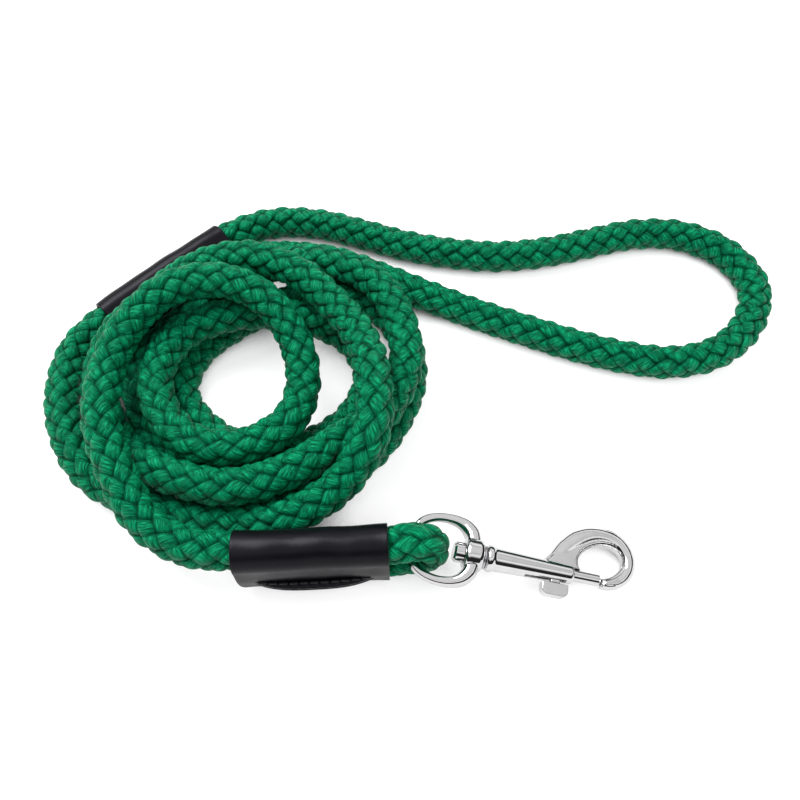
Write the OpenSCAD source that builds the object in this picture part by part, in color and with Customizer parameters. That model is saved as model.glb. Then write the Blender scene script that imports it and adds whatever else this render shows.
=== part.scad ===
// Horse lead rope: a coiled braided rope with a hand loop at one end and a swivel snap at the other.
// Millimetres. The rope lies on the floor at Z = 0. The snap is built along its own axis and then set in place.

/* [Rope] */
// Diameter over the crowns of the braid
rope_d = 16; // [10:0.5:22]
// How far the crowns of the braid stand proud of its mean surface
crown = 0.4; // [0:0.1:1]
// Radius of the fold in which the rope passes round the bar of the swivel eye
fold_r = 8; // [7:0.1:12]
// Half thickness of the rope where that fold flattens it
flat_r = 6; // [4:0.1:7]
// Sides of the rope's section
rope_sides = 10; // [8:1:12]

/* [Leather sleeves] */
// Thickness of the leather
leather = 1.2; // [0.8:0.1:2.5]
// How far the sewn leather squeezes the rope inside it, on the radius
squeeze = 0.8; // [0:0.1:1.2]
// Length of the sleeve at the snap
snap_sleeve_l = 59; // [50:1:70]
// Length of the sleeve at the hand loop
hand_sleeve_l = 71; // [40:1:100]
// Greatest width of the sewn lip on the snap sleeve
lip_w = 4; // [1:0.1:6]
// Thickness of the sewn lip, which is two leathers
lip_t = 2.4; // [1.5:0.1:4]
// Length of the sewn lip
lip_l = 49; // [20:1:50]
// Distance from one stitch to the next
stitch_pitch = 4; // [2:0.5:8]
// Diameter of the sewing thread
thread_d = 1; // [0.4:0.1:1.5]
// Wire diameter of the clench rings under the leather
clench_wire = 1.6; // [1:0.1:3]
// Length of the tape round each cut rope end
tape_l = 10; // [5:1:20]

/* [Swivel] */
// Radius of the bow of the swivel eye, to its outside
bow_r = 14.6; // [13:0.1:16]
// Diameter of the eye's straight bar, which the rope is folded round
eye_rod = 3.2; // [2:0.1:3.4]
// Thickness of the bow, square to its own plane
bow_t = 4; // [3:0.1:4.4]
// Diameter of the boss that the swivel post turns in
boss_d = 13.4; // [10:0.1:16]
// Length of that boss
boss_l = 7.6; // [4:0.1:10]
// Diameter of the swivel post
post_d = 5; // [3:0.1:8]
// Diameter of the post's head
head_d = 8.2; // [6:0.1:12]
// Running clearance round the post and the bolt, on the radius
running_gap = 0.08; // [0.01:0.01:0.1]

/* [Snap body] */
// Diameter of the collar at the swivel end of the body
collar_d = 10.8; // [8:0.1:14]
// Diameter of the barrel at the collar
barrel_d = 9.6; // [7:0.1:12]
// Diameter of the barrel at its mouth
mouth_d = 7.6; // [6:0.1:10]
// Distance from the bar of the eye to the mouth of the barrel
mouth_x = 64.5; // [50:0.5:80]
// Radius of the outside of the hook
hook_r = 12.5; // [8:0.1:18]
// Thickness of the hook
hook_t = 5.6; // [3:0.1:9]

/* [Bolt] */
// Diameter of the bolt
bolt_d = 4.6; // [3:0.1:7]
// How far the bolt slides back
bolt_travel = 10; // [5:0.5:15]
// Width of the slot that the thumb knob's stem runs in
slot_w = 3.2; // [2:0.1:5]
// Length of the thumb knob
knob_l = 10.6; // [6:0.1:16]
// Thickness of the thumb knob
knob_t = 4.4; // [3:0.1:6]
// Wire diameter of the spring behind the bolt
spring_wire = 0.5; // [0.3:0.05:1]
// Turns of that spring
spring_turns = 5; // [3:1:12]

/* [Hidden] */

// The rope's route, from the cut end under the snap sleeve to the cut end in the hand loop sleeve.
// Strands on the floor have their middle at Z = 8, and a strand on top of another is about 16 higher.
snap_end_run = [
    [-70, -90, 9], [-48, -89, 9], [-26, -88, 9], [-14, -87, 9]
];
snap_return_run = [
    [-14, -87, 25], [-26, -87, 25], [-48, -88, 25], [-70, -89, 25]
];
// The top turn, which crosses over the others at the upper left and closes the smallest ring.
top_turn = [
    [-91, -87, 24], [-110, -76, 25], [-122, -58, 30], [-131, -37, 34], [-133, -14, 34],
    [-127, 7, 37], [-112, 22, 42], [-90, 28, 42], [-70, 22, 37], [-57, 7, 29], [-52, -13, 23],
    [-57, -33, 24], [-73, -44, 24], [-94, -43, 24], [-110, -29, 24], [-116, -9, 24],
    [-108, 11, 24], [-91, 21, 24], [-71, 26, 20]
];
// The first turn on the floor, half hidden by the top turn.
inner_turn = [
    [-51, 26, 14], [-33, 18, 9], [-24, -1, 8], [-31, -22, 8], [-51, -37, 8], [-75, -39, 8],
    [-96, -28, 8], [-109, -9, 8], [-105, 11, 8], [-89, 28, 8], [-68, 41, 8], [-45, 47, 8],
    [-23, 40, 8], [-9, 22, 8]
];
// The second turn on the floor, which the turns above hide except on the right.
floor_turn = [
    [-5, -1, 8], [-12, -24, 8], [-26, -43, 8], [-46, -56, 8], [-69, -58, 8], [-92, -52, 8],
    [-112, -37, 8], [-125, -18, 8], [-130, 2, 8], [-118, 20, 12], [-100, 36, 17],
    [-81, 51, 18], [-60, 58, 20]
];
// The turn that lies on the floor turns, and dips to the floor on the left.
second_turn = [
    [-38, 52, 24], [-19, 38, 24], [-9, 16, 24], [-8, -8, 24], [-18, -29, 24], [-36, -43, 24],
    [-56, -56, 24], [-78, -62, 23], [-101, -57, 21], [-121, -46, 17], [-137, -28, 13],
    [-145, -9, 13], [-139, 11, 22], [-123, 29, 27]
];
// The turn over the hand loop sleeve, round the right side, and out along the left to the hand loop.
upper_turn = [
    [-104, 44, 31], [-81, 48, 34], [-59, 41, 33], [-41, 25, 31], [-27, 3, 34], [-21, -22, 40],
    [-21, -44, 38], [-33, -61, 25], [-53, -72, 18], [-75, -73, 10], [-98, -70, 8],
    [-121, -62, 8], [-142, -50, 8], [-156, -31, 8], [-163, -9, 8], [-162, 14, 8]
];
hand_sleeve_out = [
    [-149, 33, 9], [-132, 50, 9], [-115, 67, 9], [-97, 84, 9]
];
hand_loop = [
    [-76, 94, 8], [-52, 93, 8], [-29, 86, 8], [-6, 78, 8], [17, 73, 8], [41, 71, 8],
    [65, 74, 8], [88, 80, 8], [112, 86, 8], [136, 85, 8], [156, 73, 8], [165, 52, 8],
    [158, 30, 8], [140, 13, 8], [117, 7, 8], [94, 10, 8], [71, 17, 8], [48, 26, 8],
    [26, 35, 8], [5, 45, 8], [-17, 56, 8], [-39, 66, 8], [-62, 71, 8], [-86, 69, 8]
];
hand_sleeve_back = [
    [-104, 55, 9], [-121, 38, 9], [-136, 23, 9]
];

// Where the snap is: its own X runs from the bar of the eye along the snap, Z is square to the hook.
bar = [-4.5, -83.4, 17];
snap_heading = -9;
snap_dip = 8.8;

// The rope
mean_r = rope_d / 2 - crown;
fold_y = -85.5;
fold = [for (a = [-90:45:90]) [bar.x + fold_r * cos(a), fold_y, bar.z + fold_r * sin(a)]];
route = concat(snap_end_run, fold, snap_return_run, top_turn, inner_turn, floor_turn, second_turn,
    upper_turn, hand_sleeve_out, hand_loop, hand_sleeve_back);
fold_reach = 26;

// The sleeves
snap_run_low = 9;
snap_run_high = 25;
grip_r = mean_r - squeeze;
grip_ease = 5;
sleeve_in = grip_r + 0.2;
sleeve_out = sleeve_in + leather;
snap_sleeve_at = [-43.5, -88.6];
snap_sleeve_turn = 3;
hand_sleeve_at = [-120.3, 50.7];
hand_sleeve_turn = 45;
hand_run_gap = 15.8;
lip_z = 11.5;
lip_root = 7.1;

// The eye's outline, in the snap's own X and Y
bar_half = 6;
bow_x = 13.2;
bow_corner = 4;
boss_corner = 6;
bow_layers = [[1, 0.7], [0.65, 0]];
hole_half = 10.6;
hole_corner = 3.4;

// Places along the snap's own X axis
boss_x = 20;
boss_end = boss_x + boss_l;
head_l = 4;
washer_t = 0.5;
side_gap = 0.2;
collar_x = boss_end + washer_t + 2 * side_gap;
collar_l = 3.6;
post_end = collar_x + 4.2;
bore_x = post_end + 1.2;
bolt_x = 46.5;
bolt_tip = 75.4;
tip_x = bolt_tip + 0.3;
knob_x = 51.8;
knob_top = 10;
knob_low = 4.9;
stem_l = 3.8;
stem_x = knob_x + 3.6;
slot_x = stem_x - bolt_travel - 0.4;
slot_end = stem_x + stem_l + 0.4;

// The hook's outline, in the snap's own X and Y
hook_at = [77.5, 9.4];
hole_at = [75.4, 7.2];
hole_a = 9.5;
hole_b = 6.5;
hole_turn = 22;
web_foot = [51, 3];
web_fillet = [54.6, 6.8];
web_top = [68.3, 19];
hook_layers = [[0, 0.52], [0.5, 0.78], [1.3, 1]];

function unit(v) = v / norm(v);

// Slope of a smooth curve at point i, allowing for uneven spacing.
function slope(p, i) =
    let (before = p[max(i - 1, 0)], here = p[i], after = p[min(i + 1, len(p) - 1)],
        back = norm(here - before), ahead = norm(after - here))
    back == 0 ? (after - here) / ahead
    : ahead == 0 ? (here - before) / back
    : ((after - here) / ahead * back + (here - before) / back * ahead) / (back + ahead);

function between(p, i, t) =
    let (span = norm(p[i + 1] - p[i]), m0 = slope(p, i) * span, m1 = slope(p, i + 1) * span)
    (2 * pow(t, 3) - 3 * t * t + 1) * p[i] + (pow(t, 3) - 2 * t * t + t) * m0
    + (3 * t * t - 2 * pow(t, 3)) * p[i + 1] + (pow(t, 3) - t * t) * m1;

function smooth(p) = concat([for (i = [0:len(p) - 2], t = [0, 0.5]) between(p, i, t)], [p[len(p) - 1]]);

function square_to(v, along) = unit(v - along * (v * along));

// Side directions carried along the curve with no twist.
function sides_along(way) = [
    for (i = 0, s = square_to([0, 1, 0], way[0]); i < len(way);
        i = i + 1, s = i < len(way) ? square_to(s, way[i]) : s) s
];

// How firmly a sleeve grips the rope at q: 0 outside it, 1 well inside. The sleeve's middle is at
// place, it is turned by an angle, l long, and its ropes lie within reach of its middle line.
function grip(q, place, turn, l, reach) =
    let (off = [q.x - place.x, q.y - place.y], along = abs(off * [cos(turn), sin(turn)]),
        aside = abs(off * [-sin(turn), cos(turn)]))
    aside > reach ? 0 : min(max((l / 2 - along) / grip_ease, 0), 1);

// How much thinner the rope is at q, where a sleeve squeezes it.
function pinch(q) = squeeze * max(
    grip(q, snap_sleeve_at, snap_sleeve_turn, snap_sleeve_l, 4),
    grip(q, hand_sleeve_at, hand_sleeve_turn, hand_sleeve_l, 10));

// Thickness of the section: full along the rope, thinner in the fold round the bar and in the sleeves.
function thickness(q) =
    let (away = norm([q.x - bar.x, q.y - fold_y, q.z - bar.z]) - fold_r,
        share = min(max(away / (fold_reach - fold_r), 0), 1))
    flat_r + (mean_r - flat_r) * share - pinch(q);

module swept_rope(p) {
    c = smooth(p);
    n = len(c);
    way = [for (i = [0:n - 1]) slope(c, i) / norm(slope(c, i))];
    side = sides_along(way);
    points = [
        for (i = [0:n - 1], k = [0:rope_sides - 1])
        let (a = 360 * k / rope_sides + 90)
        c[i] + side[i] * (mean_r - pinch(c[i])) * cos(a) + cross(way[i], side[i]) * thickness(c[i]) * sin(a)
    ];
    walls = [
        for (i = [0:n - 2], k = [0:rope_sides - 1])
        let (a = i * rope_sides + k, b = i * rope_sides + (k + 1) % rope_sides)
        [a, b, b + rope_sides, a + rope_sides]
    ];
    triangles = [for (f = walls, h = [0, 1]) h == 0 ? [f[0], f[2], f[1]] : [f[0], f[3], f[2]]];
    first_cap = [for (k = [0:rope_sides - 1]) k];
    last_cap = [for (k = [rope_sides - 1:-1:0]) (n - 1) * rope_sides + k];
    polyhedron(points, concat([first_cap], triangles, [last_cap]));
}

module rope() {
    color([0.01, 0.28, 0.14]) swept_rope(route);
}

// Outline round two ropes that lie side by side, gap apart.
module pair_outline(gap, r) {
    for (y = [-gap / 2, gap / 2]) translate([0, y]) circle(r = r, $fn = 64);
    square([2 * r, gap], center = true);
}

// A tube along X round two ropes. Its own Z is across the pair.
module pair_tube(l, gap, r_out, r_in) {
    rotate([90, 0, 90]) translate([0, 0, -l / 2]) linear_extrude(l) difference() {
        rotate(90) pair_outline(gap, r_out);
        rotate(90) pair_outline(gap, r_in);
    }
}

module at_snap_sleeve() {
    translate([snap_sleeve_at.x, snap_sleeve_at.y, (snap_run_low + snap_run_high) / 2])
        rotate(snap_sleeve_turn) children();
}

module at_hand_sleeve() {
    translate([hand_sleeve_at.x, hand_sleeve_at.y, snap_run_low]) rotate(hand_sleeve_turn) children();
}

// How far the lip stands out at a distance x from its middle.
function lip_out(x) = lip_w * (1 - pow(abs(2 * x / lip_l), 3));

// The lip: the two edges of the leather, sewn together, standing out along the low front side.
module lip() {
    steps = 24;
    edge = [for (i = [0:steps]) let (x = lip_l * (i / steps - 0.5)) [x, -sleeve_out - lip_out(x) + 0.6]];
    linear_extrude(lip_t) polygon(concat([[-lip_l / 2, -lip_root]], edge, [[lip_l / 2, -lip_root]]));
}

lip_low = lip_z - (snap_run_low + snap_run_high) / 2;

module snap_sleeve() {
    color([0.03, 0.03, 0.035]) at_snap_sleeve() {
        rotate([90, 0, 0]) pair_tube(snap_sleeve_l, snap_run_high - snap_run_low, sleeve_out, sleeve_in);
        translate([0, 0, lip_low]) lip();
    }
}

// One stitch: a short length of thread with round ends, along X.
module stitch(l) {
    rotate([0, 90, 0]) cylinder(d = thread_d, h = l, center = true, $fn = 16);
    for (x = [-l / 2, l / 2]) translate([x, 0, 0]) sphere(d = thread_d, $fn = 16);
}

// Stitches along the top of the lip, with a back tack at each end.
module snap_seam_thread() {
    count = floor((lip_l - 8) / stitch_pitch);
    color([0.02, 0.02, 0.02]) at_snap_sleeve() translate([0, 0, lip_low + lip_t]) {
        for (i = [0:count]) {
            x = (i - count / 2) * stitch_pitch;
            translate([x, -sleeve_out - lip_out(x) / 3, 0]) stitch(stitch_pitch * 0.62);
        }
        for (end = [-1, 1]) translate([end * (lip_l / 2 - 2.5), -sleeve_out, 0]) rotate(end * 12) stitch(4);
    }
}

// Two wire rings clenched into the two rope parts.
module clench_rings(gap) {
    for (x = [-14, 14]) translate([x, 0, 0])
        pair_tube(clench_wire, gap, grip_r - 0.1, grip_r - 0.1 - clench_wire);
}

module snap_hog_rings() {
    color([0.6, 0.6, 0.62]) at_snap_sleeve() rotate([90, 0, 0]) clench_rings(snap_run_high - snap_run_low);
}

// Tape wound round a cut rope end. It starts at the end and runs along X.
module end_tape() {
    rotate([0, 90, 0]) difference() {
        cylinder(r = grip_r + 0.15, h = tape_l, $fn = 64);
        translate([0, 0, -1]) cylinder(r = grip_r - 0.25, h = tape_l + 2, $fn = 64);
    }
}

module snap_rope_end_tape() {
    color([0.75, 0.75, 0.72]) translate(snap_end_run[0]) rotate(snap_sleeve_turn) end_tape();
}

module hand_loop_sleeve() {
    color([0.03, 0.03, 0.035]) at_hand_sleeve()
        pair_tube(hand_sleeve_l, hand_run_gap, sleeve_out, sleeve_in);
}

// This seam is let into the underside of the leather.
module hand_loop_seam_thread() {
    count = floor((hand_sleeve_l - 10) / stitch_pitch);
    color([0.02, 0.02, 0.02]) at_hand_sleeve() translate([0, 0, -sleeve_out + 0.6])
        for (i = [0:count]) translate([(i - count / 2) * stitch_pitch, 0, 0]) stitch(stitch_pitch * 0.62);
}

module hand_loop_hog_rings() {
    color([0.6, 0.6, 0.62]) at_hand_sleeve() clench_rings(hand_run_gap);
}

module hand_loop_rope_end_tape() {
    color([0.75, 0.75, 0.72]) translate(hand_sleeve_back[2]) rotate(hand_sleeve_turn) end_tape();
}

module at_snap() {
    translate(bar) rotate([0, snap_dip, snap_heading]) children();
}

// A solid of revolution about the snap's own X axis, from points of [distance along, radius].
module turned(profile) {
    rotate([90, 0, 90]) rotate_extrude($fn = 64) polygon([for (p = profile) [p[1], p[0]]]);
}

// A round bar along the snap's X axis from one place to another.
module rod(from, to, d) {
    translate([from, 0, 0]) rotate([0, 90, 0]) cylinder(d = d, h = to - from, $fn = 48);
}

// The outside of the eye: a round bow with a straight end for the bar and a blunt end for the boss.
module bow_outline() {
    hull() {
        translate([bow_x, 0]) circle(r = bow_r, $fn = 96);
        for (side = [-1, 1]) {
            translate([bow_corner - eye_rod / 2, side * bar_half]) circle(r = bow_corner, $fn = 32);
            translate([boss_end - 0.4 - boss_corner, side * 4.5]) circle(r = boss_corner, $fn = 32);
        }
    }
}

// The hole that the rope passes through.
module bow_hole() {
    hull() for (x = [eye_rod / 2 + hole_corner, boss_x - hole_corner], side = [-1, 1])
        translate([x, side * (hole_half - hole_corner)]) circle(r = hole_corner, $fn = 32);
}

// The bow, with its edges eased in steps. It is open where the round bar goes.
module bow() {
    difference() {
        for (layer = bow_layers) linear_extrude(bow_t * layer[0], center = true) difference() {
            offset(-layer[1]) bow_outline();
            offset(layer[1]) bow_hole();
        }
        translate([-bow_corner, -bar_half, -bow_t]) cube([bow_corner + 2.2, 2 * bar_half, 2 * bow_t]);
    }
}

// The eye: a bow with a straight round bar, and a boss on its far side, bored for the swivel post.
module swivel_eye() {
    boss_edge = 1.6;
    color([0.8, 0.8, 0.82]) at_snap() difference() {
        union() {
            bow();
            rotate([90, 0, 0]) cylinder(d = eye_rod, h = 2 * bar_half + 2, center = true, $fn = 48);
            turned([
                [boss_x, 0], [boss_x, boss_d / 2 - boss_edge], [boss_x + boss_edge, boss_d / 2],
                [boss_end - boss_edge, boss_d / 2], [boss_end, boss_d / 2 - boss_edge], [boss_end, 0]
            ]);
        }
        rod(boss_x - 6, boss_end + 3, post_d + 2 * running_gap);
    }
}

// The headed post on which the body turns.
module swivel_shank() {
    head_end = boss_x - side_gap;
    edge = 0.8;
    color([0.8, 0.8, 0.82]) at_snap() turned([
        [head_end - head_l, 0], [head_end - head_l, head_d / 2 - edge],
        [head_end - head_l + edge, head_d / 2], [head_end, head_d / 2], [head_end, post_d / 2],
        [post_end, post_d / 2], [post_end, 0]
    ]);
}

module swivel_washer() {
    washer_x = boss_end + side_gap;
    color([0.55, 0.55, 0.57]) at_snap() difference() {
        rod(washer_x, washer_x + washer_t, collar_d - 1.2);
        rod(washer_x - 1, washer_x + washer_t + 1, post_d + 0.1);
    }
}

function on_circle(c, r, a) = c + r * [cos(a), sin(a)];

// The hook's outside, drawn in by inset: the web from the barrel, then round to the tip.
function hook_outside(inset) = concat(
    [web_foot + [1.4 * inset, 0], web_fillet + [0.7, -0.7] * inset, web_top + [0.7, -0.7] * inset],
    [for (a = [125:-7.5:-97.5]) on_circle(hook_at, hook_r - inset, a)],
    [[tip_x + inset, -2.7 + inset], [tip_x + inset, 2], [mouth_x - 1, 2], [mouth_x - 1, -1 + inset]]
);

function hook_hole(inset) = [
    for (a = [0:7.5:352.5])
    let (u = (hole_a + inset) * cos(a), v = (hole_b + inset) * sin(a))
    hole_at + [u * cos(hole_turn) - v * sin(hole_turn), u * sin(hole_turn) + v * cos(hole_turn)]
];

// The hook in three layers, the outer ones drawn in, so that its edges are eased.
module hook() {
    for (layer = hook_layers) linear_extrude(hook_t * layer[1], center = true) difference() {
        polygon(hook_outside(layer[0]));
        polygon(hook_hole(layer[0]));
        translate([mouth_x, -20]) square([tip_x - mouth_x, 22.3]);
    }
}

module snap_body() {
    edge = 1;
    color([0.8, 0.8, 0.82]) at_snap() difference() {
        union() {
            turned([
                [collar_x, 0], [collar_x, collar_d / 2 - edge], [collar_x + edge, collar_d / 2],
                [collar_x + collar_l - edge, collar_d / 2], [collar_x + collar_l, barrel_d / 2],
                [mouth_x - 1, mouth_d / 2], [mouth_x, mouth_d / 2 - 0.8], [mouth_x, 0]
            ]);
            hook();
        }
        rod(collar_x - 1, post_end, post_d);
        rod(bore_x, mouth_x + 2, bolt_d + 2 * running_gap);
        translate([slot_x, -barrel_d, -slot_w / 2]) cube([slot_end - slot_x, barrel_d, slot_w]);
    }
}

module knob_stem(extra) {
    translate([stem_x - extra, -knob_low - 0.6, -slot_w / 2 + 0.15 - extra])
        cube([stem_l + 2 * extra, knob_low - 0.4, slot_w - 0.3 + 2 * extra]);
}

module bolt() {
    tail = 1;
    color([0.8, 0.8, 0.82]) at_snap() difference() {
        turned([
            [bolt_x, 0], [bolt_x, bolt_d / 2 - tail], [bolt_x + tail, bolt_d / 2],
            [bolt_tip - 0.4, bolt_d / 2], [bolt_tip, bolt_d / 2 - 0.4], [bolt_tip, 0]
        ]);
        knob_stem(0.01);
    }
}

// The thumb knob: a block with round corners on a stem that is set in the bolt.
module thumb_knob() {
    corner = 2.4;
    color([0.8, 0.8, 0.82]) at_snap() {
        knob_stem(0);
        translate([knob_x, -knob_top, 0]) linear_extrude(knob_t, center = true) union() {
            translate([0, corner]) square([knob_l, knob_top - knob_low - corner]);
            translate([corner, 0]) square([knob_l - 2 * corner, corner + 1]);
            for (x = [corner, knob_l - corner]) translate([x, corner]) circle(r = corner, $fn = 32);
        }
    }
}

// The spring behind the bolt: one wire wound round the snap's own X axis.
module bolt_spring() {
    first = bore_x + spring_wire;
    last = bolt_x - spring_wire;
    r = bolt_d / 2 - spring_wire / 2 - 0.15;
    steps = 12;
    sides = 6;
    n = spring_turns * steps;
    points = [
        for (i = [0:n], k = [0:sides - 1])
        let (a = 360 * i / steps, b = 360 * k / sides, out = r + spring_wire / 2 * cos(b))
        [first + (last - first) * i / n + spring_wire / 2 * sin(b), out * cos(a), out * sin(a)]
    ];
    walls = [
        for (i = [0:n - 1], k = [0:sides - 1])
        let (a = i * sides + k, b = i * sides + (k + 1) % sides)
        [a, b, b + sides, a + sides]
    ];
    triangles = [for (f = walls, h = [0, 1]) h == 0 ? [f[0], f[2], f[1]] : [f[0], f[3], f[2]]];
    first_cap = [for (k = [0:sides - 1]) k];
    last_cap = [for (k = [sides - 1:-1:0]) n * sides + k];
    color([0.5, 0.5, 0.52]) at_snap() polyhedron(points, concat([first_cap], triangles, [last_cap]));
}

rope();
hand_loop_sleeve();
hand_loop_seam_thread();
hand_loop_hog_rings();
hand_loop_rope_end_tape();
snap_sleeve();
snap_seam_thread();
snap_hog_rings();
snap_rope_end_tape();
swivel_eye();
swivel_shank();
swivel_washer();
snap_body();
bolt();
thumb_knob();
bolt_spring();
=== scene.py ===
import bmesh
import bpy
import math
import numpy as np
from mathutils import Matrix, Vector


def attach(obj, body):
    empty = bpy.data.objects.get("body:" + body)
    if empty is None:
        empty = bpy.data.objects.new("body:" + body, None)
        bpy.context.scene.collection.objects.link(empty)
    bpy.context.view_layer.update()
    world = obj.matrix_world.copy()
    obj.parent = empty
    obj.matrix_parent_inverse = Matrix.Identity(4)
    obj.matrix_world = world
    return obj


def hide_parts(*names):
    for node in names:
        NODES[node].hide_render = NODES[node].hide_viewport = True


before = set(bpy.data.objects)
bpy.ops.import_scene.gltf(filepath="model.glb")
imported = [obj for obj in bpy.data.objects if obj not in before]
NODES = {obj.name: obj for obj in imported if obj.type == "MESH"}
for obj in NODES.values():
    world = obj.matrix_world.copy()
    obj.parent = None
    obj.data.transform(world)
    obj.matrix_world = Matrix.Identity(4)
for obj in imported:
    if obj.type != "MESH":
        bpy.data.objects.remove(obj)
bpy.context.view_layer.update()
MM = 0.001

# ---------------------------------------------------------------- sizes, in metres
ROPE_D = 0.016
CROWN = 0.0004
MEAN_R = ROPE_D / 2 - CROWN
FOLD_R = 0.008
FLAT_R = 0.006
FOLD_REACH = 0.026
COLUMNS = 10
ROW = 0.00495
ROUND_STEPS = 10
PUFF = 0.0021
PUFF_LEVEL = 0.80
TILT = 0.30

RUN_LOW = 0.009
RUN_HIGH = 0.025
LEATHER = 0.0012
SQUEEZE = 0.0008
GRIP_EASE = 0.005
SLEEVE_IN = MEAN_R - SQUEEZE + 0.0002
SNAP_SLEEVE_AT = (-0.0435, -0.0886)
SNAP_SLEEVE_TURN = math.radians(3)
SNAP_SLEEVE_L = 0.059
HAND_SLEEVE_AT = (-0.1203, 0.0507)
HAND_SLEEVE_TURN = math.radians(45)
HAND_SLEEVE_L = 0.071
HAND_RUN_GAP = 0.0158
HAND_WAIST = 0.0035
SNAP_WAIST = 0.0010
SNAP_SLEEVE_BULGE = 0.0004
LIP_Z = 0.0115
LIP_T = 0.0024
LIP_W = 0.0040
LIP_L = 0.049
LIP_POWER = 3
STITCH_PITCH = 0.004

BAR = Vector((-0.0045, -0.0834, 0.017))
FOLD_Y = -0.0855
SNAP_HEADING = math.radians(-9)
SNAP_DIP = math.radians(8.8)
VOXEL = 0.00020
BODY_VOXEL = 0.00022

SKY_STRENGTH = 1.5
SKY_LEAN = 0.35
FLOOR_GLOW = 0.70
# GAP_REACH is how far the floor's painted shade looks for nearby strands.
GAP_REACH = 0.03

# ---------------------------------------------------------------- the rope's route, as in part.scad
SNAP_END_RUN = [
    (-0.070, -0.090, 0.009), (-0.048, -0.089, 0.009), (-0.026, -0.088, 0.009), (-0.014, -0.087, 0.009),
]
SNAP_RETURN_RUN = [
    (-0.014, -0.087, 0.025), (-0.026, -0.087, 0.025), (-0.048, -0.088, 0.025), (-0.070, -0.089, 0.025),
]
TOP_TURN = [
    (-0.091, -0.087, 0.024), (-0.110, -0.076, 0.025), (-0.122, -0.058, 0.030), (-0.131, -0.037, 0.034),
    (-0.133, -0.014, 0.034), (-0.127, 0.007, 0.037), (-0.112, 0.022, 0.042), (-0.090, 0.028, 0.042),
    (-0.070, 0.022, 0.037), (-0.057, 0.007, 0.029), (-0.052, -0.013, 0.023), (-0.057, -0.033, 0.024),
    (-0.073, -0.044, 0.024), (-0.094, -0.043, 0.024), (-0.110, -0.029, 0.024), (-0.116, -0.009, 0.024),
    (-0.108, 0.011, 0.024), (-0.091, 0.021, 0.024), (-0.071, 0.026, 0.020),
]
INNER_TURN = [
    (-0.051, 0.026, 0.014), (-0.033, 0.018, 0.009), (-0.024, -0.001, 0.008), (-0.031, -0.022, 0.008),
    (-0.051, -0.037, 0.008), (-0.075, -0.039, 0.008), (-0.096, -0.028, 0.008), (-0.109, -0.009, 0.008),
    (-0.105, 0.011, 0.008), (-0.089, 0.028, 0.008), (-0.068, 0.041, 0.008), (-0.045, 0.047, 0.008),
    (-0.023, 0.040, 0.008), (-0.009, 0.022, 0.008),
]
FLOOR_TURN = [
    (-0.005, -0.001, 0.008), (-0.012, -0.024, 0.008), (-0.026, -0.043, 0.008), (-0.046, -0.056, 0.008),
    (-0.069, -0.058, 0.008), (-0.092, -0.052, 0.008), (-0.112, -0.037, 0.008), (-0.125, -0.018, 0.008),
    (-0.130, 0.002, 0.008), (-0.118, 0.020, 0.012), (-0.100, 0.036, 0.017), (-0.081, 0.051, 0.018),
    (-0.060, 0.058, 0.020),
]
SECOND_TURN = [
    (-0.038, 0.052, 0.024), (-0.019, 0.038, 0.024), (-0.009, 0.016, 0.024), (-0.008, -0.008, 0.024),
    (-0.018, -0.029, 0.024), (-0.036, -0.043, 0.024), (-0.056, -0.056, 0.024), (-0.078, -0.062, 0.023),
    (-0.101, -0.057, 0.021), (-0.121, -0.046, 0.017), (-0.137, -0.028, 0.013), (-0.145, -0.009, 0.013),
    (-0.139, 0.011, 0.022), (-0.123, 0.029, 0.027),
]
UPPER_TURN = [
    (-0.104, 0.044, 0.031), (-0.081, 0.048, 0.034), (-0.059, 0.041, 0.033), (-0.041, 0.025, 0.031),
    (-0.027, 0.003, 0.034), (-0.021, -0.022, 0.040), (-0.021, -0.044, 0.038), (-0.033, -0.061, 0.025),
    (-0.053, -0.072, 0.018), (-0.075, -0.073, 0.010), (-0.098, -0.070, 0.008), (-0.121, -0.062, 0.008),
    (-0.142, -0.050, 0.008), (-0.156, -0.031, 0.008), (-0.163, -0.009, 0.008), (-0.162, 0.014, 0.008),
]
HAND_SLEEVE_OUT = [
    (-0.149, 0.033, 0.009), (-0.132, 0.050, 0.009), (-0.115, 0.067, 0.009), (-0.097, 0.084, 0.009),
]
HAND_LOOP = [
    (-0.076, 0.094, 0.008), (-0.052, 0.093, 0.008), (-0.029, 0.086, 0.008), (-0.006, 0.078, 0.008),
    (0.017, 0.073, 0.008), (0.041, 0.071, 0.008), (0.065, 0.074, 0.008), (0.088, 0.080, 0.008),
    (0.112, 0.086, 0.008), (0.136, 0.085, 0.008), (0.156, 0.073, 0.008), (0.165, 0.052, 0.008),
    (0.158, 0.030, 0.008), (0.140, 0.013, 0.008), (0.117, 0.007, 0.008), (0.094, 0.010, 0.008),
    (0.071, 0.017, 0.008), (0.048, 0.026, 0.008), (0.026, 0.035, 0.008), (0.005, 0.045, 0.008),
    (-0.017, 0.056, 0.008), (-0.039, 0.066, 0.008), (-0.062, 0.071, 0.008), (-0.086, 0.069, 0.008),
]
HAND_SLEEVE_BACK = [
    (-0.104, 0.055, 0.009), (-0.121, 0.038, 0.009), (-0.136, 0.023, 0.009),
]


def fold_points():
    """The half circle in which the rope passes round the bar of the swivel eye."""
    turns = [math.radians(a) for a in range(-90, 91, 45)]
    return [(BAR.x + FOLD_R * math.cos(a), FOLD_Y, BAR.z + FOLD_R * math.sin(a)) for a in turns]


ROUTE = np.array(
    SNAP_END_RUN + fold_points() + SNAP_RETURN_RUN + TOP_TURN + INNER_TURN + FLOOR_TURN
    + SECOND_TURN + UPPER_TURN + HAND_SLEEVE_OUT + HAND_LOOP + HAND_SLEEVE_BACK
)


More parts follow.
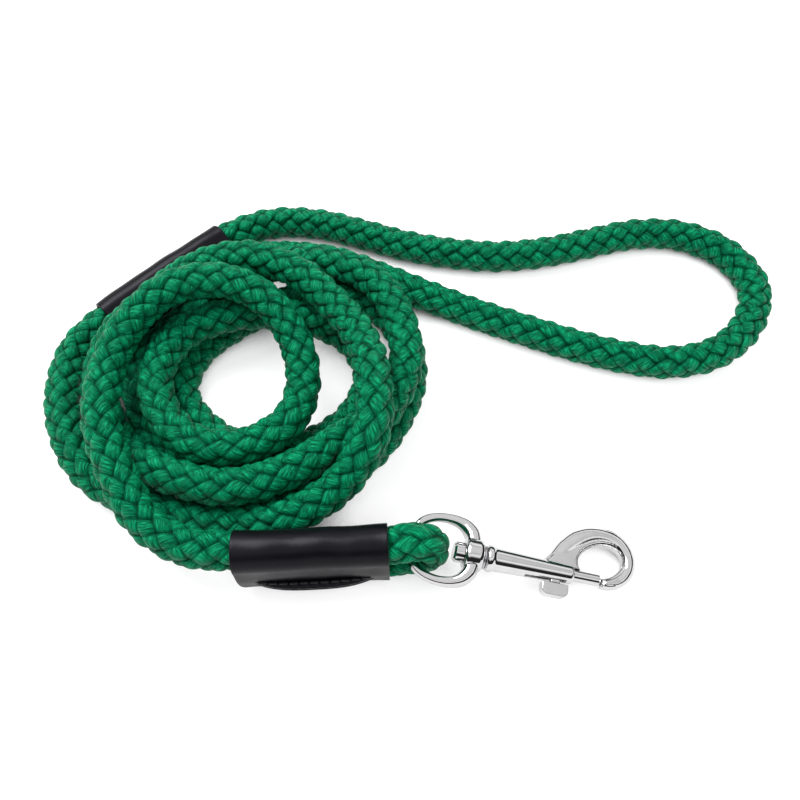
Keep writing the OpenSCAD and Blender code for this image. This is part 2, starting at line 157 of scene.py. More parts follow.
# ---------------------------------------------------------------- curve helpers
def slopes(p):
    """Slope at each point of a smooth curve through p, allowing for uneven spacing."""
    gaps = np.linalg.norm(np.diff(p, axis=0), axis=1)[:, None]
    runs = np.diff(p, axis=0) / gaps
    inside = (runs[1:] * gaps[:-1] + runs[:-1] * gaps[1:]) / (gaps[1:] + gaps[:-1])
    return np.vstack([runs[:1], inside, runs[-1:]])


def smooth_curve(p, steps):
    """Points along the smooth curve through p, with steps points to each gap."""
    m = slopes(p)
    gaps = np.linalg.norm(np.diff(p, axis=0), axis=1)[:, None]
    found = []
    for t in np.linspace(0, 1, steps, endpoint=False):
        h00 = 2 * t**3 - 3 * t**2 + 1
        h10 = t**3 - 2 * t**2 + t
        h01 = 3 * t**2 - 2 * t**3
        h11 = t**3 - t**2
        found.append(h00 * p[:-1] + h10 * gaps * m[:-1] + h01 * p[1:] + h11 * gaps * m[1:])
    return np.vstack([np.stack(found, axis=1).reshape(-1, 3), p[-1:]])


def even_points(p, step):
    """The same line with its points about step apart, and the distance along it of each."""
    along = np.concatenate([[0], np.cumsum(np.linalg.norm(np.diff(p, axis=0), axis=1))])
    count = int(round(along[-1] / step))
    at = np.linspace(0, along[-1], count + 1)
    return np.stack([np.interp(at, along, p[:, k]) for k in range(3)], axis=1), at


def carried_frame(p):
    """Directions along the line, to its side and square to both, with no twist."""
    way = np.gradient(p, axis=0)
    way /= np.linalg.norm(way, axis=1)[:, None]
    side = np.zeros_like(p)
    s = np.array([0.0, 1.0, 0.0])
    for i, w in enumerate(way):
        s = s - w * (s @ w)
        s /= np.linalg.norm(s)
        side[i] = s
    return way, side, np.cross(way, side)


def new_mesh(name, verts, faces, smooth=True):
    """A mesh object from arrays of points and faces."""
    mesh = bpy.data.meshes.new(name)
    mesh.from_pydata([tuple(v) for v in verts], [], [tuple(f) for f in faces])
    mesh.update()
    obj = bpy.data.objects.new(name, mesh)
    bpy.context.scene.collection.objects.link(obj)
    if smooth:
        mesh.shade_smooth()
    return obj


def ring_faces(rings, around):
    """Quads of a tube of rings with around points each."""
    i = np.arange(rings - 1)[:, None]
    k = np.arange(around)[None, :]
    a = i * around + k
    b = i * around + (k + 1) % around
    return np.stack([a, b, b + around, a + around], axis=2).reshape(-1, 4)


# ---------------------------------------------------------------- material helpers
class Shader:
    """A short way to build one node material."""

    def __init__(self, name):
        self.material = bpy.data.materials.new(name)
        self.material.use_nodes = True
        self.tree = self.material.node_tree
        self.surface = self.tree.nodes["Principled BSDF"]

    def node(self, kind, **values):
        made = self.tree.nodes.new(kind)
        for key, value in values.items():
            if hasattr(made, key):
                setattr(made, key, value)
            else:
                made.inputs[key.replace("_", " ")].default_value = value
        return made

    def link(self, source, target):
        self.tree.links.new(source, target)

    def math(self, operation, a, b=0.0):
        made = self.node("ShaderNodeMath", operation=operation)
        for socket, value in zip(made.inputs, (a, b)):
            if isinstance(value, (int, float)):
                socket.default_value = value
            else:
                self.link(value, socket)
        return made.outputs[0]

    def ramp(self, factor, stops):
        made = self.node("ShaderNodeValToRGB")
        ramp = made.color_ramp
        while len(ramp.elements) < len(stops):
            ramp.elements.new(0.5)
        for element, (place, colour) in zip(ramp.elements, stops):
            element.position = place
            element.color = (*colour, 1)
        self.link(factor, made.inputs[0])
        return made.outputs[0]

    def bump(self, height, strength, distance, normal=None):
        made = self.node("ShaderNodeBump")
        made.inputs["Strength"].default_value = strength
        made.inputs["Distance"].default_value = distance
        self.link(height, made.inputs["Height"])
        if normal is not None:
            self.link(normal, made.inputs["Normal"])
        return made.outputs[0]


def rope_material():
    """Fine parallel filaments that follow each strand of the braid, with a soft sheen, partly painted as
    bright streaks in the filaments' colour. Painted shade darkens the creases between strands.
    """
    s = Shader("braided_rope")
    s.surface.inputs["IOR"].default_value = 1.45
    s.surface.inputs["Specular IOR Level"].default_value = 0.26
    s.surface.inputs["Specular Tint"].default_value = (0.10, 1.0, 0.66, 1)
    uv = s.node("ShaderNodeUVMap", uv_map="braid").outputs[0]
    parts = s.node("ShaderNodeSeparateXYZ")
    s.link(uv, parts.inputs[0])
    facts = s.node("ShaderNodeAttribute", attribute_name="strand")
    split = s.node("ShaderNodeSeparateColor")
    s.link(facts.outputs["Color"], split.inputs[0])
    family, height, which = split.outputs[0], split.outputs[1], split.outputs[2]
    right = s.math("SUBTRACT", parts.outputs[0], parts.outputs[1])
    left = s.math("ADD", parts.outputs[0], parts.outputs[1])
    over = s.math("GREATER_THAN", family, 0.5)
    swap = s.math("SUBTRACT", 1.0, over)
    across = s.math("ADD", s.math("MULTIPLY", right, over), s.math("MULTIPLY", left, swap))
    along = s.math("ADD", s.math("MULTIPLY", left, over), s.math("MULTIPLY", right, swap))
    place = s.node("ShaderNodeCombineXYZ")
    s.link(s.math("MULTIPLY", across, 6.5), place.inputs[0])
    s.link(s.math("MULTIPLY", along, 0.9), place.inputs[1])
    s.link(s.math("MULTIPLY", which, 9.0), place.inputs[2])
    fibres = s.node("ShaderNodeTexNoise", Scale=1.0, Detail=4.0, Roughness=0.65)
    s.link(place.outputs[0], fibres.inputs["Vector"])
    patches = s.node("ShaderNodeTexNoise", Scale=160.0, Detail=2.0)
    # Fibre tone along each strand, whose bright streaks are partly a painted sheen on the filaments.
    body = s.ramp(fibres.outputs[0], [
        (0.36, (0.0002, 0.042, 0.016)), (0.50, (0.0003, 0.122, 0.048)), (0.64, (0.004, 0.280, 0.118)),
    ])
    # Painted shade: the lower the braid's surface lies, the darker its colour, as if shaded in the creases.
    shade = s.ramp(height, [(0.0, (0.20,) * 3), (0.30, (0.60,) * 3), (0.60, (0.92,) * 3), (1.0, (1.0,) * 3)])
    tint = s.ramp(which, [(0.0, (0.86, 0.86, 0.86)), (1.0, (1.0, 1.0, 1.0))])
    mixed = s.node("ShaderNodeMix", data_type="RGBA", blend_type="MULTIPLY")
    mixed.inputs[0].default_value = 1.0
    s.link(body, mixed.inputs[6])
    s.link(shade, mixed.inputs[7])
    tinted = s.node("ShaderNodeMix", data_type="RGBA", blend_type="MULTIPLY")
    tinted.inputs[0].default_value = 1.0
    s.link(mixed.outputs[2], tinted.inputs[6])
    s.link(tint, tinted.inputs[7])
    s.link(tinted.outputs[2], s.surface.inputs["Base Color"])
    gloss = s.ramp(fibres.outputs[0], [(0.3, (0.60,) * 3), (0.75, (0.34,) * 3)])
    s.link(gloss, s.surface.inputs["Roughness"])
    low = s.bump(patches.outputs[0], 0.15, 0.0006)
    s.link(s.bump(fibres.outputs[0], 1.0, 0.0007, low), s.surface.inputs["Normal"])
    return s.material


def leather_material():
    """Smooth black leather with a fine grain, a few soft creases and a satin finish."""
    s = Shader("black_leather")
    s.surface.inputs["Specular IOR Level"].default_value = 0.13
    s.surface.inputs["Specular Tint"].default_value = (0.90, 0.88, 1.0, 1)
    place = s.node("ShaderNodeTexCoord").outputs["Object"]
    grain = s.node("ShaderNodeTexVoronoi", Scale=1500.0)
    folds = s.node("ShaderNodeTexNoise", Scale=90.0, Detail=4.0, Roughness=0.55)
    wear = s.node("ShaderNodeTexNoise", Scale=35.0, Detail=3.0)
    for texture in (grain, folds, wear):
        s.link(place, texture.inputs["Vector"])
    colour = s.ramp(wear.outputs[0], [(0.35, (0.0020, 0.0019, 0.0028)), (0.7, (0.0042, 0.0040, 0.0055))])
    s.link(colour, s.surface.inputs["Base Color"])
    s.link(s.ramp(folds.outputs[0], [(0.3, (0.28,) * 3), (0.7, (0.40,) * 3)]),
           s.surface.inputs["Roughness"])
    low = s.bump(folds.outputs[0], 0.25, 0.0008)
    s.link(s.bump(grain.outputs[0], 0.12, 0.00015, low), s.surface.inputs["Normal"])
    return s.material


def metal_material(name, colour, rough_low, rough_high, bump):
    """Plated or bare metal, with slight unevenness in its polish."""
    s = Shader(name)
    s.surface.inputs["Metallic"].default_value = 1.0
    place = s.node("ShaderNodeTexCoord").outputs["Object"]
    wave = s.node("ShaderNodeTexNoise", Scale=220.0, Detail=2.0)
    fine = s.node("ShaderNodeTexNoise", Scale=1400.0, Detail=3.0)
    for texture in (wave, fine):
        s.link(place, texture.inputs["Vector"])
    s.link(s.ramp(wave.outputs[0], [(0.3, colour), (0.7, tuple(c * 0.93 for c in colour))]),
           s.surface.inputs["Base Color"])
    s.link(s.ramp(fine.outputs[0], [(0.35, (rough_low,) * 3), (0.7, (rough_high,) * 3)]),
           s.surface.inputs["Roughness"])
    s.link(s.bump(wave.outputs[0], bump, 0.0003), s.surface.inputs["Normal"])
    return s.material


def woven_material(name, colour, scale):
    """Thread or tape: a fine weave."""
    s = Shader(name)
    place = s.node("ShaderNodeTexCoord").outputs["Object"]
    weave = s.node("ShaderNodeTexWave", Scale=scale, Distortion=1.5, Detail=2.0)
    s.link(place, weave.inputs["Vector"])
    dark = tuple(c * 0.6 for c in colour)
    s.link(s.ramp(weave.outputs[0], [(0.2, dark), (0.8, colour)]), s.surface.inputs["Base Color"])
    s.surface.inputs["Roughness"].default_value = 0.7
    s.link(s.bump(weave.outputs[0], 0.4, 0.0002), s.surface.inputs["Normal"])
    return s.material


ROPE_LOOK = rope_material()
LEATHER_LOOK = leather_material()
CHROME = metal_material("polished_plating", (0.56, 0.555, 0.56), 0.04, 0.09, 0.03)
STEEL = metal_material("drawn_steel", (0.50, 0.50, 0.52), 0.25, 0.4, 0.1)
THREAD_LOOK = woven_material("waxed_thread", (0.004, 0.004, 0.005), 1800.0)
TAPE_LOOK = woven_material("cloth_tape", (0.62, 0.62, 0.58), 1400.0)


def paint(obj, material):
    """Gives an object one material in place of any it has."""
    obj.data.materials.clear()
    obj.data.materials.append(material)
    return obj


# ---------------------------------------------------------------- the rope
def grip(p, place, turn, length, reach):
    """How firmly a sleeve grips the rope at each point of p: 0 outside it, 1 well inside."""
    off = p[:, :2] - np.array(place)
    along = np.abs(off @ np.array([math.cos(turn), math.sin(turn)]))
    aside = np.abs(off @ np.array([-math.sin(turn), math.cos(turn)]))
    firm = np.clip((length / 2 + 0.5 * GRIP_EASE - along) / GRIP_EASE, 0, 1)
    return np.where(aside > reach, 0, firm)


def pinch(p):
    """How much thinner the rope is where a sleeve squeezes it."""
    snap = grip(p, SNAP_SLEEVE_AT, SNAP_SLEEVE_TURN, SNAP_SLEEVE_L, 0.004)
    hand = grip(p, HAND_SLEEVE_AT, HAND_SLEEVE_TURN, HAND_SLEEVE_L, 0.010)
    return SQUEEZE * np.maximum(snap, hand)


def thickness(p):
    """Half thickness of the rope: full along its length, thinner round the bar and in the sleeves."""
    away = np.linalg.norm(p - np.array([BAR.x, FOLD_Y, BAR.z]), axis=1) - FOLD_R
    share = np.clip(away / (FOLD_REACH - FOLD_R), 0, 1)
    return FLAT_R + (MEAN_R - FLAT_R) * share - pinch(p)


def braid(u, v):
    """The braid at u columns round and v rows along: height, family, and which strand length it is.
    One family of strands climbs a column to each row and the other falls one. Each square of the
    pattern is a length of one strand that passes over the other family, puffed up like a pillow."""
    p = (u - v) / 2
    q = (u + v) / 2
    i = np.round(p)
    j = np.round(q)
    climbs = (i + j) % 2 == 0
    across = 2 * np.where(climbs, p - i, q - j)
    along = 2 * np.where(climbs, q - j, p - i)
    onward = np.where(climbs, along, -along)
    crown = np.clip(np.cos(across * math.pi / 2), 0, 1) ** 0.45
    arch = np.clip(np.cos(along * math.pi / 2), 0, 1) ** 0.42
    which = (np.sin(((i + j) % COLUMNS) * 78.23 + (j - i) * 12.99) * 43758.55) % 1.0
    height = crown * arch * (0.92 + 0.08 * which) + TILT * onward
    return height, climbs.astype(float), which


def make_rope():
    """The braided rope: a tube along the route, with each strand puffed up out of it."""
    line, along = even_points(smooth_curve(ROUTE, 24), ROW / ROUND_STEPS)
    _, side, up = carried_frame(line)
    around = COLUMNS * ROUND_STEPS
    u = np.arange(around) / ROUND_STEPS
    v = along / ROW
    uu, vv = np.meshgrid(u, v)
    height, family, which = braid(uu, vv)
    angle = 2 * math.pi * uu / COLUMNS
    fold = ((thickness(line) + pinch(line) - FLAT_R) / (MEAN_R - FLAT_R))[:, None]
    lift = (height - PUFF_LEVEL) * PUFF * (0.6 + 0.4 * fold)
    wide = MEAN_R - pinch(line)[:, None]
    half = thickness(line)[:, None]
    out_side = (wide + lift) * np.cos(angle)
    out_up = (half + lift) * np.sin(angle)
    points = line[:, None, :] + side[:, None, :] * out_side[..., None] + up[:, None, :] * out_up[..., None]
    rings = len(line)
    verts = points.reshape(-1, 3)
    faces = ring_faces(rings, around)
    obj = new_mesh("braided_rope", verts, faces)
    mesh = obj.data
    cap = bmesh.new()
    cap.from_mesh(mesh)
    cap.verts.ensure_lookup_table()
    for start, turn in ((0, -1), ((rings - 1) * around, 1)):
        cap.faces.new([cap.verts[start + k] for k in range(around)][::turn])
    cap.to_mesh(mesh)
    cap.free()
    colours = np.ones((rings * around, 4), np.float32)
    colours[:, 0] = family.ravel()
    # The braid's height, which the rope material also turns into painted shade in the creases.
    colours[:, 1] = np.clip(height.ravel(), 0, 1)
    colours[:, 2] = which.ravel()
    facts = mesh.color_attributes.new("strand", "FLOAT_COLOR", "POINT")
    facts.data.foreach_set("color", colours.ravel())
    uv = mesh.uv_layers.new(name="braid")
    corner = np.zeros(len(mesh.loops), np.int32)
    mesh.loops.foreach_get("vertex_index", corner)
    place = np.stack([uu.ravel(), vv.ravel()], axis=1)[corner]
    starts = np.zeros(len(mesh.polygons), np.int32)
    mesh.polygons.foreach_get("loop_start", starts)
    quad = starts[: (rings - 1) * around]
    for offset in (1, 2):
        wrapped = place[quad + offset, 0] < place[quad, 0]
        place[quad[wrapped] + offset, 0] += COLUMNS
    uv.data.foreach_set("uv", place.astype(np.float32).ravel())
    paint(obj, ROPE_LOOK)
    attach(obj, "lead")
    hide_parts("rope")
    return obj


# ---------------------------------------------------------------- the leather sleeves
def pair_section(gap, r, waist_up, waist_down, count):
    """Points round two ropes gap apart, drawn in between them, and each point's angle round the pair.
    The first coordinate is across the pair and the second is square to it."""
    arc = math.pi * r
    total = 2 * (gap + arc)
    points = []
    for k in range(count):
        t = total * k / count
        if t < gap:
            x = gap / 2 - t
            points.append((x, r - waist_up * math.cos(math.pi * x / gap) ** 2))
        elif t < gap + arc:
            a = math.pi / 2 + (t - gap) / r
            points.append((-gap / 2 + r * math.cos(a), r * math.sin(a)))
        elif t < 2 * gap + arc:
            x = t - gap - arc - gap / 2
            points.append((x, -r + waist_down * math.cos(math.pi * x / gap) ** 2))
        else:
            a = -math.pi / 2 + (t - 2 * gap - arc) / r
            points.append((gap / 2 + r * math.cos(a), r * math.sin(a)))
    return np.array(points)


def creases(x, turn, size):
    """Soft unevenness of leather pulled tight over a braid."""
    return size * (
        np.sin(x / 0.0046 + 2.0 * turn) + 0.7 * np.sin(x / 0.0027 - 3.0 * turn + 1.0)
        + 0.6 * np.sin(x / 0.0091 + 5.0 * turn + 2.0)
    )


def leather_tube(name, length, gap, waist_up, waist_down, bow, trim):
    """A sleeve of real thickness round two ropes, with rounded cut edges, along its own X.
    bow is how far its middle is bent aside. trim(pair, out) is how far each end is cut back."""
    around = 160
    edge = 0.0004
    outer = SLEEVE_IN + LEATHER
    half = length / 2
    path = [(x, outer) for x in np.linspace(-half + edge, half - edge, 90)]
    turns = [math.radians(a) for a in (67, 45, 22, 0)]
    path += [(half - edge + edge * math.cos(a), outer - edge + edge * math.sin(a)) for a in turns]
    path += [(half - edge + edge * math.cos(a), SLEEVE_IN + edge - edge * math.sin(a)) for a in turns[::-1]]
    path += [(x, SLEEVE_IN) for x in np.linspace(half - edge, -half + edge, 12)]
    path += [(-half + edge - edge * math.cos(a), SLEEVE_IN + edge - edge * math.sin(a)) for a in turns]
    path += [(-half + edge - edge * math.cos(a), outer - edge + edge * math.sin(a)) for a in turns[::-1]]
    rows = []
    for x, r in path:
        ring = pair_section(gap, r, waist_up, waist_down, around)
        turn = np.arctan2(ring[:, 1], ring[:, 0])
        swell = 1 + creases(x, turn, 0.00007) / r
        swell += 0.02 * (abs(x) / half) ** 6
        near = max(abs(x) / half - 0.5, 0) * 2
        end_trim = np.array([trim(p[0], p[1], x < 0) for p in ring])
        along = x - math.copysign(1, x) * end_trim * near**2
        shift = bow * (1 - (x / half) ** 2)
        rows.append(np.stack([along, ring[:, 0] * swell + shift, ring[:, 1] * swell], axis=1))
    verts = np.concatenate(rows)
    count = len(rows)
    faces = ring_faces(count, around).tolist()
    last = (count - 1) * around
    faces += [[last + k, last + (k + 1) % around, (k + 1) % around, k] for k in range(around)]
    obj = new_mesh(name, verts, faces)
    face_out(obj)
    return obj


def face_out(obj):
    """Turns every face of a closed mesh outwards."""
    work = bmesh.new()
    work.from_mesh(obj.data)
    bmesh.ops.recalc_face_normals(work, faces=work.faces)
    work.to_mesh(obj.data)
    work.free()


def bake_place(obj, place):
    """Moves a mesh from its own axes to where it belongs."""
    obj.data.transform(place)
    return obj


def join_into(target, others):
    """Adds the meshes of other objects to the target's mesh."""
    work = bmesh.new()
    work.from_mesh(target.data)
    for other in others:
        work.from_mesh(other.data)
        bpy.data.objects.remove(other)
    work.to_mesh(target.data)
    work.free()
    target.data.shade_smooth()


def lip_out(x):
    """How far the sewn lip stands out of the snap sleeve at x from its middle."""
    return LIP_W * (1 - abs(2 * x / LIP_L) ** LIP_POWER)


def lip_layer(name, low, high, reach, slope):
    """One of the two leathers of the lip: a strip with a rounded outer edge, puckered by the stitches.
    slope is how far its top falls towards that edge."""
    outer = SLEEVE_IN + LEATHER
    steps = 120
    corner = 0.00045
    rows = []
    for x in np.linspace(-LIP_L / 2, LIP_L / 2, steps):
        pucker = 0.00022 * (0.5 + 0.5 * math.cos(2 * math.pi * x / STITCH_PITCH))
        tip = -outer - lip_out(x) * reach + 0.0006
        root = -outer + 0.0009
        top = high - pucker - slope * lip_out(x) / LIP_W
        ring = [(x, root, low), (x, root, high)]
        for a in (90, 60, 30, 0):
            ring.append((x, tip + corner - corner * math.cos(math.radians(a)),
                         top - corner + corner * math.sin(math.radians(a))))
        for a in (0, 30, 60, 90):
            ring.append((x, tip + corner - corner * math.cos(math.radians(a)),
                         low + corner - corner * math.sin(math.radians(a))))
        rows.append(ring)
    around = len(rows[0])
    verts = np.array(rows).reshape(-1, 3)
    faces = ring_faces(steps, around).tolist()
    faces.append(list(range(around)))
    faces.append([(steps - 1) * around + k for k in range(around)][::-1])
    obj = new_mesh(name, verts, faces)
    face_out(obj)
    return obj


def finish_sleeve(obj, node):
    """Makes a sleeve leather and puts it in place of its CAD node."""
    paint(obj, LEATHER_LOOK)
    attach(obj, "lead")
    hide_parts(node)


def make_hand_sleeve():
    """The wrap that closes the hand loop: its ropes lie side by side on the floor."""
    obj = leather_tube("hand_loop_leather", HAND_SLEEVE_L, HAND_RUN_GAP, HAND_WAIST, 0.0003, 0.0014,
                       lambda pair, out, left: 0.0)
    place = Matrix.Translation((*HAND_SLEEVE_AT, RUN_LOW)) @ Matrix.Rotation(HAND_SLEEVE_TURN, 4, "Z")
    bake_place(obj, place)
    finish_sleeve(obj, "hand_loop_sleeve")
    clench_rings("hand_loop_rings", "hand_loop_hog_rings", place, HAND_RUN_GAP, HAND_WAIST)


def snap_trim(pair, out, left):
    """The lower front corner of the snap sleeve's far end is cut back."""
    low = min(max((-pair - 0.007) / 0.008, 0), 1)
    front = min(max(-out / 0.008, 0), 1)
    return 0.0045 * low * front if left else 0.0004


def make_snap_sleeve():
    """The wrap at the snap: its ropes lie one on the other, and its sewn lip runs along the low front."""
    gap = RUN_HIGH - RUN_LOW
    tube = leather_tube("snap_leather", SNAP_SLEEVE_L, gap, SNAP_WAIST, -SNAP_SLEEVE_BULGE, 0.0, snap_trim)
    # The tube's pair direction becomes up, and its other side the back.
    upright = Matrix(((1, 0, 0, 0), (0, 0, 1, 0), (0, 1, 0, 0), (0, 0, 0, 1)))
    bake_place(tube, upright)
    low = LIP_Z - (RUN_LOW + RUN_HIGH) / 2
    middle = low + LIP_T / 2
    layers = [
        lip_layer("lip_low", low - 0.0010, middle - 0.0009, 1.0, 0.0),
        lip_layer("lip_high", middle - 0.0008, low + LIP_T, 0.97, 0.0006),
    ]
    join_into(tube, layers)
    place = Matrix.Translation((*SNAP_SLEEVE_AT, (RUN_LOW + RUN_HIGH) / 2))
    place = place @ Matrix.Rotation(SNAP_SLEEVE_TURN, 4, "Z")
    bake_place(tube, place)
    face_out(tube)
    finish_sleeve(tube, "snap_sleeve")
    clench_rings("snap_rings", "snap_hog_rings", place @ upright, gap, SNAP_WAIST)


# ---------------------------------------------------------------- camera, light and floor
def make_camera():
    """The camera stands over the near side of the coil and looks down at 60 degrees."""
    data = bpy.data.cameras.new("camera")
    data.lens = 32.4
    data.sensor_width = 36.0
    camera = bpy.data.objects.new("camera", data)
    camera.location = (-0.010, -0.176, 0.2895)
    camera.rotation_euler = (math.radians(30), 0, 0)
    bpy.context.scene.collection.objects.link(camera)
    bpy.context.scene.camera = camera
    scene = bpy.context.scene
    scene.render.resolution_x = 800
    scene.render.resolution_y = 800
    scene.render.resolution_percentage = 100
    scene.view_settings.view_transform = "Standard"
    scene.view_settings.look = "None"


def area_light(name, place, target, size, watts, mirrored):
    """A soft box, which polished metal shows in its streaks where mirrored is true."""
    data = bpy.data.lights.new(name, "AREA")
    data.shape = "RECTANGLE"
    data.size = size[0]
    data.size_y = size[1]
    data.energy = watts
    lamp = bpy.data.objects.new(name, data)
    lamp.location = place
    lamp.rotation_euler = (Vector(target) - Vector(place)).to_track_quat("-Z", "Y").to_euler()
    lamp.visible_glossy = mirrored
    bpy.context.scene.collection.objects.link(lamp)


def make_light():
    """A soft studio: white above and behind, and dark towards the near side, for polished metal to pick
    up streaks. Behind the floor the plain wall of the studio shows."""
    world = bpy.data.worlds.new("studio")
    bpy.context.scene.world = world
    world.use_nodes = True
    tree = world.node_tree
    back = tree.nodes["Background"]
    place = tree.nodes.new("ShaderNodeTexCoord")
    split = tree.nodes.new("ShaderNodeSeparateXYZ")
    band = tree.nodes.new("ShaderNodeValToRGB")
    tree.links.new(place.outputs["Generated"], split.inputs[0])
    lean = tree.nodes.new("ShaderNodeMath")
    lean.operation = "MULTIPLY_ADD"
    lean.inputs[1].default_value = SKY_LEAN
    tree.links.new(split.outputs[1], lean.inputs[0])
    tree.links.new(split.outputs[2], lean.inputs[2])
    tree.links.new(lean.outputs[0], band.inputs[0])
    stops = [
        (0.0, 1.0), (0.03, 0.90), (0.06, 0.02), (0.54, 0.02), (0.62, 0.35), (0.70, 0.90), (0.78, 1.0),
        (0.86, 0.55), (0.94, 0.70), (1.0, 0.75),
    ]
    while len(band.color_ramp.elements) < len(stops):
        band.color_ramp.elements.new(0.5)
    for element, (where, grey) in zip(band.color_ramp.elements, stops):
        element.position = where
        element.color = (grey, grey, grey, 1)
    tree.links.new(band.outputs[0], back.inputs[0])
    back.inputs[1].default_value = SKY_STRENGTH
    wall = tree.nodes.new("ShaderNodeBackground")
    wall.inputs[0].default_value = (1, 1, 1, 1)
    path = tree.nodes.new("ShaderNodeLightPath")
    choose = tree.nodes.new("ShaderNodeMixShader")
    tree.links.new(path.outputs["Is Camera Ray"], choose.inputs[0])
    tree.links.new(back.outputs[0], choose.inputs[1])
    tree.links.new(wall.outputs[0], choose.inputs[2])
    tree.links.new(choose.outputs[0], tree.nodes["World Output"].inputs["Surface"])
    centre = (0.0, 0.0, 0.02)
    area_light("key_light", (-0.35, 0.25, 0.65), centre, (0.5, 0.5), 8.5, True)
    area_light("fill_light", (0.45, -0.30, 0.55), centre, (0.5, 0.4), 2.5, False)


def make_floor():
    """A plain white floor, wide enough to fill the view, whose glow is dimmed by painted shade deep between
    close strands.
    """
    half = 1.6
    corners = [(-half, -half, 0), (half, -half, 0), (half, half, 0), (-half, half, 0)]
    floor = new_mesh("floor", corners, [(0, 1, 2, 3)], smooth=False)
    floor.location.z = -0.0003
    s = Shader("white_floor")
    grain = s.node("ShaderNodeTexNoise", Scale=30.0)
    s.link(s.ramp(grain.outputs[0], [(0.3, (0.38,) * 3), (0.7, (0.40,) * 3)]),
           s.surface.inputs["Base Color"])
    s.surface.inputs["Roughness"].default_value = 0.9
    # Painted shade: ambient occlusion dims the floor's glow deep in narrow gaps between strands and at their
    # feet.
    painted_gap_shade_ao = s.node("ShaderNodeAmbientOcclusion")
    painted_gap_shade_ao.samples = 8
    painted_gap_shade_ao.inputs["Distance"].default_value = GAP_REACH
    floor_glow_with_painted_shade = s.ramp(painted_gap_shade_ao.outputs["AO"], [(0.12, (0.0,) * 3), (0.36, (1.0,) * 3)])
    s.link(floor_glow_with_painted_shade, s.surface.inputs["Emission Color"])
    s.surface.inputs["Emission Strength"].default_value = FLOOR_GLOW
    paint(floor, s.material)


# ---------------------------------------------------------------- the snap
def at_snap():
    """Places the snap's own axes, with X from the bar of the eye along the snap."""
    return (Matrix.Translation(BAR) @ Matrix.Rotation(SNAP_HEADING, 4, "Z")
            @ Matrix.Rotation(SNAP_DIP, 4, "Y"))


def cast(obj, voxel, rounds):
    """Runs the parts of a casting together and eases its edges."""
    remesh = obj.modifiers.new("remesh", "REMESH")
    remesh.mode = "VOXEL"
    remesh.voxel_size = voxel
    remesh.use_smooth_shade = True
    ease = obj.modifiers.new("ease", "SMOOTH")
    ease.factor = 0.5
    ease.iterations = rounds
    bpy.context.view_layer.update()
    graph = bpy.context.evaluated_depsgraph_get()
    obj.data = bpy.data.meshes.new_from_object(obj.evaluated_get(graph))
    obj.modifiers.clear()
    obj.data.shade_smooth()


def plate(obj, node, body):
    """Plates a casting and puts it in place of its CAD node."""
    paint(obj, CHROME)
    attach(obj, body)
    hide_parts(node)


def make_body():
    """The snap's barrel and hook: the CAD shape, with a rounded ridge along the hook, as one casting."""
    obj = bpy.data.objects.new("snap_body_cast", NODES["snap_body"].data.copy())
    bpy.context.scene.collection.objects.link(obj)
    ridge = [
        (56.5, 5.0), (60.5, 9.8), (65.6, 14.6), (71.2, 17.6), (77.0, 18.3), (82.6, 16.8), (86.2, 12.6),
        (87.0, 7.6), (85.0, 2.8), (81.0, -0.3), (77.4, -0.7),
    ]
    halves = [
        (2.6, 2.6), (3.6, 3.0), (3.9, 3.3), (3.4, 3.4), (3.0, 3.4), (2.7, 3.4), (2.5, 3.3), (2.3, 3.2),
        (2.2, 3.0), (2.0, 2.7), (1.8, 2.4),
    ]
    points = [(x * MM, y * MM) for x, y in ridge]
    bar = swept_bar("ridge", points, [(w * MM, h * MM) for w, h in halves])
    join_into(obj, [bake_place(bar, at_snap())])
    cast(obj, BODY_VOXEL, 18)
    plate(obj, "snap_body", "snap")


def make_knob():
    """The thumb knob, rounded for the thumb."""
    obj = bpy.data.objects.new("thumb_knob_cast", NODES["thumb_knob"].data.copy())
    bpy.context.scene.collection.objects.link(obj)
    cast(obj, VOXEL, 22)
    plate(obj, "thumb_knob", "plunger")


def swept_bar(name, points, halves, around=40):
    """A bar along a flat curve. halves holds its half width in the curve's plane and half height."""
    line = smooth_curve(np.array([(x, y, 0.0) for x, y in points]), 8)
    at = np.linspace(0, 1, len(line))
    knots = np.linspace(0, 1, len(halves))
    wide = np.interp(at, knots, [h[0] for h in halves])
    high = np.interp(at, knots, [h[1] for h in halves])
    way = np.gradient(line, axis=0)
    way /= np.linalg.norm(way, axis=1)[:, None]
    out = np.stack([way[:, 1], -way[:, 0], np.zeros(len(line))], axis=1)
    verts = []
    for k in range(len(line)):
        for n in range(around):
            a = 2 * math.pi * n / around
            c, d = math.cos(a), math.sin(a)
            square = (abs(c) ** 2.6 + abs(d) ** 2.6) ** (-1 / 2.6)
            verts.append(line[k] + out[k] * wide[k] * c * square + np.array([0, 0, high[k] * d * square]))
    faces = ring_faces(len(line), around).tolist()
    faces.append(list(range(around)))
    faces.append([(len(line) - 1) * around + n for n in range(around)][::-1])
    obj = new_mesh(name, verts, faces)
    face_out(obj)
    return obj


def lathe(name, profile, around=96):
    """A solid of revolution about X, from a closed profile of (distance along, radius)."""
    count = len(profile)
    verts = []
    for n in range(around):
        a = 2 * math.pi * n / around
        verts += [(x, r * math.cos(a), r * math.sin(a)) for x, r in profile]
    faces = []
    for n in range(around):
        m = (n + 1) % around
        for k in range(count):
            j = (k + 1) % count
            faces.append([n * count + k, n * count + j, m * count + j, m * count + k])
    obj = new_mesh(name, verts, faces)
    face_out(obj)
    return obj


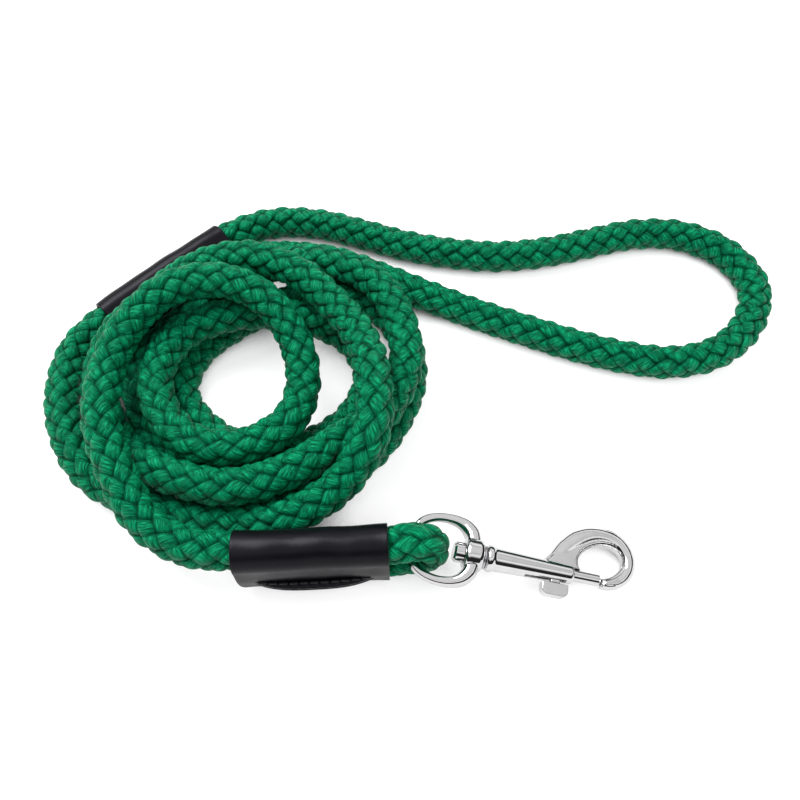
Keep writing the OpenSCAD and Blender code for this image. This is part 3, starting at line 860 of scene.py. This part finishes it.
def make_eye():
    """The eye: a straight bar, two arms that bow out and swell into the boss, and the boss itself."""
    arm = [
        (0.0, 0.0), (0.0, 3.0), (0.1, 6.0), (1.4, 8.8), (4.0, 10.9), (8.0, 12.4), (12.5, 12.8),
        (16.8, 12.2), (20.2, 10.6), (22.6, 7.8), (23.6, 4.0),
    ]
    halves = [
        (1.6, 1.6), (1.6, 1.6), (1.6, 1.7), (1.7, 1.9), (1.8, 2.0), (1.8, 2.1), (1.9, 2.3), (2.2, 3.0),
        (2.7, 3.8), (3.1, 4.4), (3.2, 4.6),
    ]
    parts = []
    for side in (-1, 1):
        points = [(x * MM, side * y * MM) for x, y in arm]
        parts.append(swept_bar("arm", points, [(w * MM, h * MM) for w, h in halves]))
    bore = 2.6
    boss = [
        (20.0, bore), (20.0, 5.4), (20.5, 6.3), (21.4, 6.7), (25.8, 6.7), (27.0, 6.2), (27.6, 5.2),
        (27.6, bore),
    ]
    parts.append(lathe("boss", [(x * MM, r * MM) for x, r in boss]))
    eye = new_mesh("swivel_eye_cast", [], [])
    join_into(eye, parts)
    cast(eye, VOXEL, 10)
    bake_place(eye, at_snap())
    plate(eye, "swivel_eye", "eye")


def clench_rings(name, node, place, gap, waist):
    """Two wire rings clenched into a pair of ropes, and pinched in between them."""
    wire = 0.0008
    around = 12
    loop = 96
    verts = []
    faces = []
    for x in (-0.014, 0.014):
        path = pair_section(gap, MEAN_R - SQUEEZE - 0.0001 - wire, waist, waist, loop)
        way = np.roll(path, -1, axis=0) - np.roll(path, 1, axis=0)
        way /= np.linalg.norm(way, axis=1)[:, None]
        out = np.stack([way[:, 1], -way[:, 0]], axis=1)
        first = len(verts)
        for k in range(loop):
            for n in range(around):
                a = 2 * math.pi * n / around
                spot = path[k] + out[k] * wire * math.cos(a)
                verts.append((x + wire * math.sin(a), spot[0], spot[1]))
        for k in range(loop):
            for n in range(around):
                m = (n + 1) % around
                j = (k + 1) % loop
                faces.append([first + k * around + n, first + k * around + m,
                              first + j * around + m, first + j * around + n])
    obj = new_mesh(name, verts, faces)
    bake_place(obj, place)
    face_out(obj)
    paint(obj, STEEL)
    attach(obj, "lead")
    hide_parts(node)


def make_snap():
    """The snap's castings, and the looks of the CAD nodes that stay."""
    make_eye()
    make_body()
    make_knob()
    for node in ("swivel_shank", "bolt"):
        paint(NODES[node], CHROME)
    for node in ("swivel_washer", "bolt_spring"):
        paint(NODES[node], STEEL)
    for node in ("hand_loop_rope_end_tape", "snap_rope_end_tape"):
        paint(NODES[node], TAPE_LOOK)
    for node in ("hand_loop_seam_thread", "snap_seam_thread"):
        paint(NODES[node], THREAD_LOOK)
    for node in ("swivel_shank", "bolt", "swivel_washer"):
        bevel = NODES[node].modifiers.new("eased_edges", "BEVEL")
        bevel.width = 0.0003
        bevel.segments = 3
        bevel.limit_method = "ANGLE"
        bevel.angle_limit = math.radians(50)
        NODES[node].data.shade_smooth()


make_camera()
make_rope()
make_hand_sleeve()
make_snap_sleeve()
make_snap()
make_light()
make_floor()
